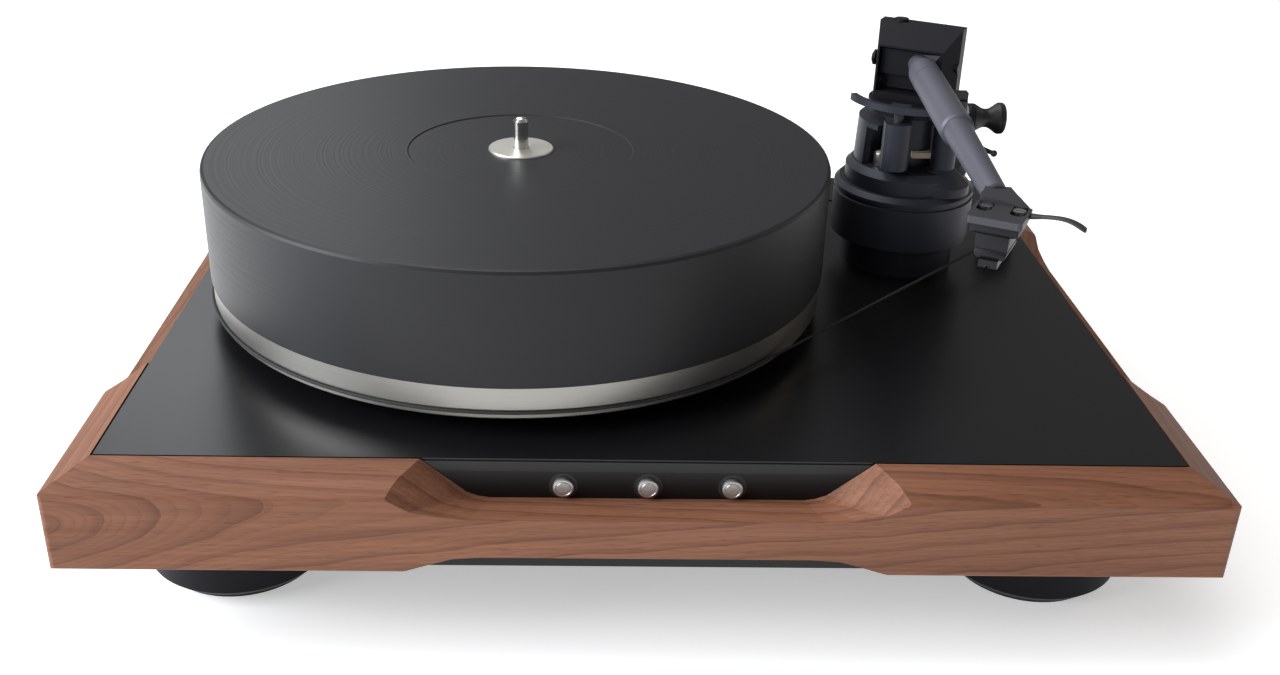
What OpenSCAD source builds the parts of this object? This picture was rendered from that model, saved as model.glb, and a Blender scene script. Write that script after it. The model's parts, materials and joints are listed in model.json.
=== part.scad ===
// Belt-drive record player: wood-framed plinth, deep platter and a
// gimballed nine-inch arm. Origin: bottom centre of the plinth, front towards -Y.

/* [Plinth] */
// Overall width of the wooden frame
plinth_w = 486; // [480:1:540]
// Overall depth of the wooden frame
plinth_d = 384; // [376:1:430]
// Height of the deck above the table
deck_z = 90.6; // [86:0.2:110]
// Thickness of the wooden boards
board_t = 17.2; // [14:0.2:19]
// Height of the wooden boards above the table
wood_z0 = 46.5; // [42:0.5:50]
// Drop of the sloping top edge of the boards
slope_drop = 8.8; // [4:0.2:12]
// Depth of the hand dips in the middle of each board
dip_depth = 18.1; // [8:0.1:19]

/* [Feet] */
// Radius of a foot
foot_r = 42; // [25:0.5:46]
// Distance of a foot centre from the middle, left to right
foot_x = 186; // [150:1:190]
// Distance of a foot centre from the middle, front to back
foot_y = 112; // [80:1:125]

/* [Buttons] */
// Diameter of a push button
button_d = 8.6; // [6:0.1:12]
// Spacing of the push buttons
button_pitch = 35; // [20:1:45]
// Travel of a push button
button_travel = 1.5; // [0.5:0.1:2]

/* [Platter] */
// Radius of the platter
platter_r = 152.5; // [150:0.1:156]
// Height of the black body of the platter
platter_h = 52.8; // [20:0.2:54]
// Height of the steel ring under the platter
ring_h = 15.1; // [12:0.1:18]
// Gap between deck and platter
platter_gap = 8; // [5:0.5:12]
// Diameter of the centre pin
spindle_d = 7.2; // [7:0.02:7.24]

/* [Belt drive] */
// Thickness of the round belt
belt_d = 1.4; // [1:0.1:2]
// Radius of the motor pulley where the belt runs
pulley_r = 9; // [6:0.1:10]

/* [Arm] */
// Length from arm pivot to the cartridge screws
arm_l = 220.2; // [212:0.1:224]
// Offset angle of the head shell
offset_a = 24; // [18:0.5:27]
// Radius of the arm base drum
drum_r = 37.3; // [37:0.1:38]
// Radius of the rear arm tube
tube_r = 7.6; // [6:0.1:7.8]
// Radius of the counterweight
weight_r = 14; // [10:0.5:15]

/* [Hidden] */
$fn = 96;
eps = 0.01;
// Fit clearances
seam = 0.3;         // shadow line between wood and deck
run_fit = 0.05;     // radial play of every running fit
gap = 0.5;          // air between parts that move past each other
mitre_gap = 0.05;   // each side of a corner joint of the wood
panel_gap = 0.05;   // between the panels of the inner frame
// Plinth
core_x = plinth_w/2 - board_t - seam;
core_y = plinth_d/2 - board_t - seam;
wall = 4;
plate_t = 5.6;
core_z0 = 38;
core_z1 = deck_z - plate_t;
base_t = 3;
slope_z = deck_z - slope_drop;
dip_z = deck_z - dip_depth;
arch_h = 7.9;
corner_r = 3;
foot_h = core_z0;
pad_h = 4;
// Platter centre and heights
px = -59.8;
py = -4.5;
ring_z0 = deck_z + platter_gap;
ring_z1 = ring_z0 + ring_h;
plat_z1 = ring_z1 + platter_h;
ring_r = platter_r - 0.7;
pin_r = spindle_d/2;
stem_r = pin_r + 0.4;
shaft_r = 6;
hub_r = 16;
// Belt
motor_r = 15;
mx = core_x - wall - motor_r - 0.4;
my = py + 69.9;
belt_z = ring_z0 + 3.7;
belt_ro = ring_r + belt_d/2 + run_fit;
belt_ri = pulley_r + belt_d/2 + run_fit;
belt_span = sqrt(pow(mx - px, 2) + pow(my - py, 2));
belt_dir = atan2(my - py, mx - px);
belt_lean = asin((belt_ro - belt_ri)/belt_span);
// Arm
ax = px + 204.6;
ay = py + 51.3;
az = deck_z + 109.4;
park = 3.78;        // arm direction when parked, from straight ahead
rise = 0.8;         // arm points up a little on its rest
drum_z0 = deck_z + 16.8;
drum_z1 = drum_z0 + 29.6;
disc_z1 = drum_z1 + 11;
yoke_z0 = az - 24;
col_z1 = yoke_z0 - gap;
level_p = [-16.4, -11.5];
lift_p = [-12.8, -26.5];
rest_p = [15, -17.5];
clip_p = [14.5, -29];
weight_drop = 5;
pocket = 1.6;       // depth of the screw pockets in the head shell
knob_z = col_z1 - 4;
rest_h = col_z1 - drum_z1 - 3;
button_z = deck_z - 12.5;
socket_z = deck_z - 12.6;
rear_y = core_y;

module at_pivot() { translate([ax, ay, 0]) children(); }
module at_yoke() { translate([ax, ay, az]) rotate([0, 0, -park - offset_a]) children(); }
module at_arm() { translate([ax, ay, az]) rotate([0, 0, -park]) rotate([-rise, 0, 0]) children(); }
module at_shell() { at_arm() translate([0, -arm_l, 0]) rotate([0, 0, -offset_a]) children(); }
module fwd(s) { translate([0, -s, 0]) rotate([90, 0, 0]) children(); }
module box(x0, x1, y0, y1, z0, z1) { translate([x0, y0, z0]) cube([x1 - x0, y1 - y0, z1 - z0]); }
module tube(r, ri, h) { difference() { cylinder(r = r, h = h); translate([0, 0, -1]) cylinder(r = ri, h = h + 2); } }
module round_box(x, y, r) {
  square([2*x - 2*r, 2*y], center = true);
  square([2*x, 2*y - 2*r], center = true);
  for (i = [-1, 1], j = [-1, 1]) translate([i*(x - r), j*(y - r)]) circle(r);
}
// A board seen end-on: outer face at 0, sloping top edge, eased corners
function arc_pts(c, r, a0, a1, n) = [for (i = [0:n]) c + r*[cos(a0 + (a1 - a0)*i/n), sin(a0 + (a1 - a0)*i/n)]];
function board_section() = concat(
  arc_pts([1.5, wood_z0 + 1.5], 1.5, 270, 180, 4),
  arc_pts([2.2, slope_z - 1.4], 2.2, 180, 180 - atan2(board_t, slope_drop), 5),
  [[board_t, deck_z], [board_t, wood_z0]]);
// Dip: everything above a bowl-shaped line, wider at the outer face than at the inner face
module dip_slab(w, grow, y) {
  translate([0, y + 0.05, 0]) rotate([90, 0, 0]) linear_extrude(0.1)
    polygon([for (s = [-1, 1], p = (s < 0 ? [for (k = [4:-1:0]) k] : [for (k = [0:4]) k]))
      [s*(w + grow*[0, 4.5, 9, 28, 40][p]), dip_z + [0, 0.7, 2.5, 18.1, 28][p]*dip_depth/18.1]]);
}
module dip() {
  hull() {
    dip_slab(65, 1, board_t + 0.3);
    translate([0, -0.35, 0]) rotate([90, 0, 0]) linear_extrude(0.1)
      polygon([for (s = [-1, 1], p = (s < 0 ? [for (k = [5:-1:0]) k] : [for (k = [0:5]) k]))
        [s*[73, 85, 97, 107, 120, 131][p], dip_z + [0, 1.2, 3.6, 9.4, 18.1, 26][p]*dip_depth/18.1]]);
  }
}
module arch() {
  hull() {
    for (q = [[board_t + 0.3, 58], [-0.35, 68]])
      translate([0, q[0], 0]) rotate([90, 0, 0]) linear_extrude(0.1)
        polygon([for (s = [-1, 1], p = (s < 0 ? [for (k = [4:-1:0]) k] : [for (k = [0:4]) k]))
          [s*(q[1] + [0, 12, 21, 33, 45][p]*(q[1] > 60 ? 1 : 0.7)),
           wood_z0 + [arch_h, arch_h - 0.9, arch_h - 3.6, 0, -3.6][p]]]);
  }
}
module board(len, inset) {
  difference() {
    intersection() {
      translate([-len/2, 0, 0]) rotate([90, 0, 90]) linear_extrude(len) polygon(board_section());
      translate([0, 0, wood_z0 - 1]) linear_extrude(60)
        polygon([for (q = [[-1, 0], [1, 0], [1, 1], [-1, 1]]) [q[0]*(len/2 - mitre_gap - q[1]*(board_t + 0.1)), q[1]*(board_t + 0.1)]]);
      translate([0, inset, wood_z0 - 1]) linear_extrude(60) round_box(len/2, inset, corner_r);
    }
    dip();
    arch();
    // pilot holes for the screws that hold the board to the frame
    for (s = [-1, 1]) translate([s*(len/2 - 60), board_t - 12, wood_z0 + 12]) rotate([-90, 0, 0]) cylinder(r = 1.6, h = 20, $fn = 32);
  }
}
module wood() { color("#6b4630") children(); }
module front_board() { wood() translate([0, -plinth_d/2, 0]) board(plinth_w, plinth_d/2); }
module rear_board() { wood() rotate([0, 0, 180]) translate([0, -plinth_d/2, 0]) board(plinth_w, plinth_d/2); }
module left_board() { wood() rotate([0, 0, -90]) translate([0, -plinth_w/2, 0]) board(plinth_d, plinth_w/2); }
module right_board() { wood() rotate([0, 0, 90]) translate([0, -plinth_w/2, 0]) board(plinth_d, plinth_w/2); }

// Black inner frame: four panels with holes for buttons and sockets
module chassis_frame() {
  color("#1d1d20") difference() {
    union() {
      for (t = [-1, 1]) translate([0, 0, core_z0]) linear_extrude(core_z1 - core_z0) intersection() {
        round_box(core_x, core_y, 1);
        translate([0, t*(core_y - wall/2)]) square([2*core_x, wall], center = true);
      }
      for (s = [-1, 1]) translate([s*(core_x - wall/2) - wall/2, -core_y + wall + panel_gap, core_z0])
        cube([wall, 2*(core_y - wall - panel_gap), core_z1 - core_z0]);
    }
    for (i = [-1, 0, 1]) translate([i*button_pitch, -core_y - 1, button_z]) rotate([-90, 0, 0]) cylinder(r = 6, h = wall + 2);
    for (i = [-1, 1]) translate([i*14 - 40, core_y - wall - 1, socket_z]) rotate([-90, 0, 0]) cylinder(r = 5, h = wall + 2);
    translate([0, core_y - wall - 1, socket_z]) rotate([-90, 0, 0]) cylinder(r = 3, h = wall + 2);
    translate([45, core_y - wall - 1, socket_z]) rotate([-90, 0, 0]) cylinder(r = 4.2, h = wall + 2);
    for (s = [-1, 1], t = [-1, 1]) {
      translate([s*(plinth_w/2 - 60), t*core_y, wood_z0 + 12]) rotate([90, 0, 0]) cylinder(r = 2, h = 2*wall + 4, center = true, $fn = 32);
      translate([s*core_x, t*(plinth_d/2 - 60), wood_z0 + 12]) rotate([0, 90, 0]) cylinder(r = 2, h = 2*wall + 4, center = true, $fn = 32);
    }
  }
}
module deck_points() { for (s = [-1, 1], t = [-1, 1]) translate([s*(core_x - 14), t*(core_y - 14), 0]) children(); }
module top_plate() {
  color("#232326") difference() {
    translate([0, 0, core_z1]) {
      linear_extrude(plate_t - 1) round_box(core_x, core_y, 1);
      translate([0, 0, plate_t - 1 - eps]) linear_extrude(1 + eps) round_box(core_x - 0.6, core_y - 0.6, 1);
    }
    translate([px, py, core_z1 - 1]) cylinder(r = 14, h = plate_t + 2);
    translate([mx, my, core_z1 - 1]) cylinder(r = 3.5, h = plate_t + 2);
    at_pivot() translate([0, 0, core_z1 - 1]) cylinder(r = 9, h = plate_t + 2);
    deck_points() translate([0, 0, core_z1 - 1]) cylinder(r = 2, h = 4, $fn = 32);
  }
}
module base_plate() {
  color("#2a2a2c") difference() {
    box(-core_x + wall, core_x - wall, -core_y + wall, core_y - wall, core_z0, core_z0 + base_t);
    for (s = [-1, 1], t = [-1, 1]) translate([s*foot_x, t*foot_y, core_z0 - 1]) cylinder(r = 4, h = base_t + 2);
    deck_points() translate([0, 0, core_z0 - 1]) cylinder(r = 2.6, h = base_t + 2, $fn = 32);
  }
}
// Posts in the corners of the frame join deck and base
module corner_brackets() {
  color("#55565a") deck_points() translate([0, 0, core_z0 + base_t])
    difference() {
      translate([-8, -8, 0]) cube([16, 16, core_z1 - core_z0 - base_t]);
      translate([0, 0, -1]) cylinder(r = 2, h = core_z1 - core_z0, $fn = 32);
    }
}
module deck_screws() {
  color("#8d8f93") deck_points() translate([0, 0, core_z0 + base_t - 3]) union() {
    cylinder(r = 2, h = core_z1 - core_z0 + 2, $fn = 32);
    translate([0, 0, -2.2]) cylinder(r = 3.8, h = 2.2, $fn = 32);
  }
}
module board_screw() {
  rotate([-90, 0, 0]) { cylinder(r = 1.6, h = 16, $fn = 32); translate([0, 0, -2]) cylinder(r = 3.4, h = 2, $fn = 32); }
}
module board_screws() {
  color("#8d8f93") for (a = [0, 180], s = [-1, 1]) {
    rotate([0, 0, a]) translate([s*(plinth_w/2 - 60), core_y - wall, wood_z0 + 12]) board_screw();
    rotate([0, 0, a + 90]) translate([s*(plinth_d/2 - 60), core_x - wall, wood_z0 + 12]) board_screw();
  }
}
module foot(s, t) {
  color("#18181a") translate([s*foot_x, t*foot_y, 0]) difference() {
    rotate_extrude() polygon([[0, pad_h], [foot_r - 3, pad_h], [foot_r, pad_h + 3], [foot_r, 26], [foot_r - 1.2, 27],
      [foot_r - 1.2, 29], [foot_r, 30], [foot_r, foot_h - 2], [foot_r - 2, foot_h], [0, foot_h]]);
    translate([0, 0, foot_h - 16]) cylinder(r = 4, h = 20);
  }
}
module foot_front_left() { foot(-1, -1); }
module foot_front_right() { foot(1, -1); }
module foot_rear_left() { foot(-1, 1); }
module foot_rear_right() { foot(1, 1); }
module foot_pads() { color("#0f0f10") for (s = [-1, 1], t = [-1, 1]) translate([s*foot_x, t*foot_y, 0]) cylinder(r = foot_r - 7, h = pad_h); }
module foot_bolts() {
  color("#8d8f93") for (s = [-1, 1], t = [-1, 1]) translate([s*foot_x, t*foot_y, foot_h - 15.5]) {
    cylinder(r = 4, h = 15.5 + base_t);
    translate([0, 0, 15.5 + base_t]) cylinder(r = 7.5, h = 4, $fn = 6);
  }
}

// Push buttons: domed cap outside, stem through a sleeve to the switch
module button(i) {
  br = button_d/2;
  color("#c9cacd") translate([i*button_pitch, -core_y, button_z]) rotate([90, 0, 0])
    rotate_extrude() polygon([[0, -wall - 8], [2.6, -wall - 8], [2.6, -wall + 0.6], [br, -wall + 0.6], [br, 1.7], [br - 0.5, 2.2],
      [br - 1.4, 2.2], [br - 1.4, 2.1], [br - 1.8, 2.1], [br - 1.8, 2.2], [0, 2.2]]);
}
module button_left() { button(-1); }
module button_middle() { button(0); }
module button_right() { button(1); }
module button_sleeves() {
  color("#101012") for (i = [-1:1]) translate([i*button_pitch, -core_y, button_z]) rotate([-90, 0, 0]) {
    tube(6, button_d/2 + run_fit, wall);
  }
}
// Circuit board behind the buttons with one switch for each
module switch_board() {
  yb = -core_y + wall + 9;
  color("#2c4b36") {
    box(-60, 60, yb + 5, yb + 6.6, button_z - 16, button_z + 5.5);
    for (i = [-1:1]) translate([i*button_pitch, yb + 5, button_z]) rotate([90, 0, 0]) cylinder(r = 5, h = 5 - 1);
    for (s = [-1, 1]) box(s*55 - 3, s*55 + 3, yb - 9, yb + 5, button_z - 14, button_z - 8);
  }
}
module drive_board() {
  color("#2c4b36") {
    box(40, 130, -150, -90, core_z0 + base_t + 6, core_z0 + base_t + 7.6);
    for (s = [0, 1], t = [0, 1]) translate([44 + s*82, -146 + t*52, core_z0 + base_t]) cylinder(r = 2.5, h = 6, $fn = 32);
    for (i = [0:3]) translate([52 + i*12, -104, core_z0 + base_t + 7.6]) cylinder(r = 4, h = 12);
    box(96, 122, -140, -110, core_z0 + base_t + 7.6, core_z0 + base_t + 20);
  }
}
module rear_sockets() {
  color("#b08a3c") for (i = [-1, 1]) translate([i*14 - 40, core_y - wall - 12, socket_z]) rotate([-90, 0, 0]) difference() {
    union() { cylinder(r = 5, h = 12 + wall); cylinder(r = 6.5, h = 12); translate([0, 0, 12 + wall]) cylinder(r = 4.2, h = 8); }
    translate([0, 0, 8]) cylinder(r = 1.6, h = 40);
    translate([0, 0, 15]) tube(3.6, 2.2, 20);
  }
}
module power_inlet() {
  color("#151517") translate([45, core_y - wall - 10, socket_z]) rotate([-90, 0, 0]) difference() {
    union() { cylinder(r = 4.2, h = 10 + wall + 1); cylinder(r = 6, h = 10); }
    translate([0, 0, 6]) tube(2.9, 1, 30);
  }
}
module ground_post() {
  color("#b9babd") translate([0, core_y - wall - 4, socket_z]) rotate([-90, 0, 0]) {
    cylinder(r = 5, h = 4, $fn = 6); cylinder(r = 3, h = 4 + wall + 2);
    translate([0, 0, 4 + wall]) cylinder(r = 4.5, h = 7);
  }
}

// Motor under the deck, pulley above it
module motor_body() {
  color("#8a8c90") translate([mx, my, 0]) difference() {
    union() {
      translate([0, 0, core_z0 + 8]) cylinder(r = motor_r, h = core_z1 - 2 - core_z0 - 8);
      translate([-motor_r, -26, core_z1 - 2]) cube([2*motor_r, 52, 2]);
    }
    translate([0, 0, core_z0 + 12]) cylinder(r = 1.5 + run_fit, h = 60);
    translate([0, 0, core_z1 - 3]) cylinder(r = 3.5, h = 10);
  }
}
module motor_pulley() {
  color("#3a3a3e") translate([mx, my, 0]) {
    translate([0, 0, core_z0 + 14]) cylinder(r = 1.5, h = belt_z - core_z0 - 10);
    difference() {
      translate([0, 0, deck_z + 3]) rotate_extrude() polygon([[1.4, 0], [pulley_r + 1, 0], [pulley_r + 1, belt_z - deck_z - 5],
        [pulley_r, belt_z - deck_z - 4.2], [pulley_r, belt_z - deck_z - 1.8], [pulley_r + 1, belt_z - deck_z - 1],
        [pulley_r + 1, belt_z - deck_z + 1.5], [pulley_r, belt_z - deck_z + 2.5], [1.4, belt_z - deck_z + 2.5]]);
    }
  }
}
// Belt: a loop of square cord round ring and pulley
module belt_outline(ro, ri) {
  q = 90 - belt_lean;
  polygon(concat(arc_pts([0, 0], ro, q, 360 - q, 90), arc_pts([belt_span, 0], ri, -q, q, 24)));
}
module drive_belt() {
  color("#141415") translate([px, py, belt_z - belt_d/2]) rotate([0, 0, belt_dir]) linear_extrude(belt_d) difference() {
    belt_outline(belt_ro + belt_d/2, belt_ri + belt_d/2);
    belt_outline(belt_ro - belt_d/2, belt_ri - belt_d/2);
  }
}

// Platter bearing
module bearing_housing() {
  color("#4c4d51") translate([px, py, 0]) difference() {
    union() {
      translate([0, 0, core_z0 + 12]) cylinder(r = 14, h = deck_z - core_z0 - 12);
      translate([0, 0, deck_z]) cylinder(r = 26, h = 3);
    }
    translate([0, 0, core_z0 + 18]) cylinder(r = shaft_r + 2.5, h = 60);
    translate([0, 0, core_z0 + 14]) cylinder(r = 3, h = 10);
  }
}
module bearing_bushes() {
  color("#b08a3c") translate([px, py, 0]) for (z = [core_z0 + 22, deck_z - 9])
    translate([0, 0, z]) tube(shaft_r + 2.5, shaft_r + run_fit, 12);
}
module thrust_ball() { color("#c9cacd") translate([px, py, core_z0 + 17]) sphere(r = 3); }
module spindle() {
  color("#c9cacd") translate([px, py, 0]) rotate_extrude()
    polygon([[0, core_z0 + 20.3], [shaft_r - 1, core_z0 + 20.3], [shaft_r, core_z0 + 21.3], [shaft_r, ring_z1],
      [stem_r, ring_z1], [stem_r, plat_z1 + 0.5], [pin_r, plat_z1 + 0.5], [pin_r, plat_z1 + 13.8], [pin_r - 1.2, plat_z1 + 15.2], [pin_r - 2.4, plat_z1 + 15.8], [0, plat_z1 + 15.8]]);
}
module steel_ring() {
  color("#b4b5b8") translate([px, py, ring_z0]) rotate_extrude()
    polygon([[shaft_r, 0], [ring_r - 1, 0], [ring_r, 1], [ring_r, ring_h], [shaft_r, ring_h]]);
}
module platter_body() {
  color("#1b1b1d") translate([px, py, ring_z1]) rotate_extrude()
    polygon([[stem_r, 0], [platter_r, 0], [platter_r, platter_h - 1.8], [platter_r - 0.5, platter_h - 0.5],
      [platter_r - 1.8, platter_h], [55.5, platter_h], [55, platter_h - 0.5], [hub_r, platter_h - 0.5],
      [hub_r, platter_h - 1.5], [stem_r, platter_h - 1.5]]);
}
module hub_disc() {
  color("#c2c3c6") translate([px, py, plat_z1 - 1.5]) rotate_extrude()
    polygon([[stem_r, 0], [hub_r, 0], [hub_r, 1.5], [hub_r - 0.5, 2], [stem_r, 2]]);
}

// Arm base
module arm_drum() {
  color("#17181b") at_pivot() difference() {
    rotate_extrude() polygon([[0, deck_z], [30, deck_z], [30, drum_z0], [drum_r - 0.6, drum_z0], [drum_r, drum_z0 + 0.6],
      [drum_r, drum_z1 - 6.5], [drum_r - 1, drum_z1 - 6], [drum_r - 1, drum_z1 - 4.5], [drum_r, drum_z1 - 4],
      [drum_r, drum_z1 - 2.5], [drum_r - 2.5, drum_z1], [0, drum_z1]]);
    translate([0, 0, deck_z - 1]) cylinder(r = 9, h = 60);
  }
}
module arm_collar() {
  color("#1c1d20") at_pivot() difference() {
    translate([0, 0, drum_z1]) rotate_extrude() polygon([[9, 0], [32.2, 0], [32.2, 7.6], [29, 11], [9, 11]]);
    rest_form(0.1);
  }
}
module arm_column() {
  color("#1c1d20") at_pivot() difference() {
    union() {
      translate([0, 0, disc_z1]) cylinder(r = 15, h = col_z1 - disc_z1);
      translate([8, -1, knob_z]) rotate([0, 90, 0]) cylinder(r = 3.9, h = 11);
      translate([8, -4, disc_z1 + 8]) rotate([0, 90, 0]) cylinder(r = 3.5, h = 11);
    }
    translate([0, 0, disc_z1 - 1]) cylinder(r = 9, h = 60);
    rest_form(0.1);
    translate([10, -1, knob_z]) rotate([0, 90, 0]) cylinder(r = 2 + run_fit, h = 12);
    translate([10, -4, disc_z1 + 8]) rotate([0, 90, 0]) cylinder(r = 1.5 + run_fit, h = 12);
  }
}
// Curved guard on the platter side of the column, with a window below its front rim
module wedge(a0, a1, h) { linear_extrude(h) polygon(concat([[0, 0]], arc_pts([0, 0], 60, a0, a1, 16))); }
module arm_shroud() {
  color("#2b2c30") at_pivot() translate([0, 0, disc_z1]) difference() {
    rotate_extrude() polygon([[24, 0], [28.4, 0], [27.6, 23], [15, 23], [15, 20.5], [24, 20.5]]);
    translate([0, 0, -1]) wedge(220, 455, 30);
    translate([0, 0, -1]) wedge(203, 240, 21.5);
  }
}
module arm_sleeve() {
  color("#b08a3c") at_pivot() translate([0, 0, core_z1 - 6]) {
    difference() {
      union() { cylinder(r = 8.98, h = col_z1 - core_z1 + 6); cylinder(r = 14, h = 6, $fn = 6); }
      translate([0, 0, 34]) cylinder(r = 5 + run_fit, h = 90);
    }
  }
}
// Bubble level on a short post
module level_cap() { color("#c9cacd") at_pivot() translate([level_p[0], level_p[1], disc_z1]) cylinder(r = 4, h = 7); }
// Strip where the signal leads end
module lead_strip() {
  color("#c9b79c") at_pivot() difference() {
    box(-1.5, 8.4, -18, -12, disc_z1 + 6, disc_z1 + 9);
    translate([0, 0, disc_z1]) cylinder(r = 15, h = 20);
    rest_form(0.1);
  }
}

// Cue lift: fixed body, rising rail, side lever
module lift_body() {
  color("#202125") at_pivot() difference() {
    union() {
      translate([lift_p[0], lift_p[1], disc_z1 + 3.5]) intersection() {
        cylinder(r = 7.4, h = 24.5);
        translate([-6.9, -8, -1]) cube([13.8, 16, 40]);
      }
      translate([lift_p[0] - 3.5, lift_p[1] + 2, disc_z1]) cube([7, 6, 3.5]);
      translate([lift_p[0] - 3.5, lift_p[1] + 2, disc_z1 + 3.5]) cube([7, 14, 4]);
    }
    translate([lift_p[0], lift_p[1], disc_z1 + 10]) cylinder(r = 2.5 + run_fit, h = 40);
    translate([0, 0, disc_z1 - 1]) cylinder(r = 15, h = 60);
    translate([level_p[0], level_p[1], disc_z1 - 1]) cylinder(r = 4.2, h = 9);
  }
}
module lift_rail() {
  color("#26272b") at_pivot() {
    translate([lift_p[0], lift_p[1], disc_z1 + 16]) cylinder(r = 2.5, h = 19);
    translate([0, 0, disc_z1 + 34]) {
      rotate([0, 0, 192]) rotate_extrude(angle = 86) translate([32.6, 0]) square([3.2, 3.4]);
      intersection() {
        translate([0, 0, 0]) tube(34, 24.6, 2.4);
        rotate([0, 0, atan2(lift_p[1], lift_p[0])]) translate([20, -5, -1]) cube([14, 10, 6]);
      }
    }
  }
}
module lift_lever() {
  color("#1a1a1c") at_pivot() translate([0, -4, disc_z1 + 8]) {
    translate([11, 0, 0]) rotate([0, 90, 0]) cylinder(r = 1.5, h = 27);
    translate([37.5, 0, 0]) sphere(r = 2);
    translate([37.5, 0, 0]) rotate([0, 90, -60]) cylinder(r1 = 1.5, r2 = 1.1, h = 11);
    translate([37.5 + 5.5, -9.5, 0]) sphere(r = 1.8);
  }
}
// Arm rest: coned post and side clip
module rest_form(g) {
  translate([rest_p[0], rest_p[1], drum_z1]) rotate_extrude()
    polygon([[0, -g], [15.4 + g, -g], [15.4 + g, 4.6 + g], [14.9 + g, 5.2 + g], [6.4 + g, 12.5 + g], [6.4 + g, rest_h + g], [0, rest_h + g]]);
}
module rest_post() {
  color("#2a2b2f") at_pivot() difference() {
    rest_form(0);
    translate([0, 0, drum_z1 - 1]) cylinder(r = 9.02, h = 60);
    translate([rest_p[0] - 1, clip_p[1] + 7.5, drum_z1 + rest_h - 4]) cylinder(r = 2.5, h = 10);
  }
}
module rest_clip() {
  z0 = drum_z1 + rest_h;
  color("#1a1b1e") at_pivot() difference() {
    union() {
      translate([clip_p[0], clip_p[1], z0]) linear_extrude(17) round_box(5.6, 4.4, 1.5);
      translate([rest_p[0] - 1, clip_p[1] + 7.5, z0 - 4]) cylinder(r = 2.5, h = 7);
      translate([rest_p[0] - 4, clip_p[1], z0]) cube([6, 7.5, 3]);
      translate([clip_p[0] - 6.6, clip_p[1] - 2.4, z0 + 17 - eps]) cube([12.2, 5, 4]);
      translate([clip_p[0] - 12, clip_p[1] - 2.4, z0 + 6]) cube([8, 5, 4]);
    }
    translate([clip_p[0] + 1, clip_p[1] - 6, z0 + 13]) rotate([-90, 0, 0]) cylinder(r = 1.5, h = 5);
  }
}
module bias_knob() {
  color("#161618") at_pivot() translate([11, -1, knob_z]) rotate([0, 90, 0]) {
    cylinder(r = 2, h = 18);
    translate([0, 0, 18]) rotate_extrude() polygon([[0, 0], [7, 0], [7.6, 0.8], [7.6, 4], [5.2, 8], [4.9, 10], [5.2, 12],
      [8, 16], [8.3, 17], [8.3, 19], [7.6, 19.8], [0, 19.8]]);
  }
}

// Yoke that swings on the column; its chamfered frame carries the tilt pivots
module yoke() {
  color("#2f3035") {
    at_yoke() difference() {
      intersection() {
        translate([-30, 0, 0]) rotate([90, 0, 90]) linear_extrude(60)
          polygon([[-8, -24], [8, -24], [8, 20], [0, 20], [-8, 9]]);
        translate([0, 0, -25]) linear_extrude(50)
          polygon([[-22.5, 8], [-22.5, 0], [-20, -8], [14.5, -8], [21.5, 0], [21.5, 8]]);
      }
      box(-19, 13, -10, 10, -15.5, 8);
      for (s = [-1, 1]) rotate([0, s*90, 0]) cylinder(r = 2.5, h = 40);
    }
    intersection() {
      translate([ax, ay, yoke_z0]) cylinder(r = 23.6, h = 5);
      at_yoke() box(-30, 30, -30, 8, -25, 0);
    }
    translate([ax, ay, yoke_z0 - 46]) cylinder(r = 5, h = 48);
    at_yoke() translate([-12, 3, 20 - eps]) cylinder(r = 3.6, h = 1.4);
  }
}
module pivot_screws() {
  color("#3a3b40") at_yoke() {
    rotate([0, -90, 0]) { translate([0, 0, 16]) cylinder(r = 2.5, h = 8.5); translate([0, 0, 22.5]) cylinder(r = 4, h = 1.2); }
    rotate([0, 90, 0]) translate([0, 0, 10]) cylinder(r = 2.5, h = 11.5);
  }
}
// Rear half of the arm: pivot block, thick tube and the stub for the weight
module arm_tube_rear() {
  color("#55575f") {
    difference() {
      union() {
        at_yoke() { box(-18.5, 12.5, -4.5, 4.5, -6.5, 6.6); box(-18.5, 12.5, -1.5, 4.5, -14.2, -6.5 + eps); }
        at_arm() {
          fwd(-20) cylinder(r = 5.5, h = 36);
          fwd(15) cylinder(r1 = 6, r2 = tube_r, h = 5);
          fwd(20) cylinder(r = tube_r, h = 100);
          fwd(120) cylinder(r1 = tube_r, r2 = tube_r - 1, h = 1.2);
          fwd(-56) cylinder(r = 4.5, h = 40);
        }
      }
      at_yoke() { rotate([0, -90, 0]) translate([0, 0, 15.5]) cylinder(r = 2.5 + run_fit, h = 8);
        rotate([0, 90, 0]) translate([0, 0, 9.5]) cylinder(r = 2.5 + run_fit, h = 8); }
      at_arm() fwd(60) cylinder(r = tube_r - 1.4, h = 80);
    }
  }
}
module arm_tube_front() {
  color("#5a5c64") at_arm() difference() {
    union() {
      fwd(105) cylinder(r = tube_r - 1.42, h = 16.2);
      fwd(121.2) cylinder(r1 = 6.4, r2 = 4.9, h = arm_l - 135.2);
    }
    fwd(104) cylinder(r = 3, h = arm_l - 104 - 18);
  }
}
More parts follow.
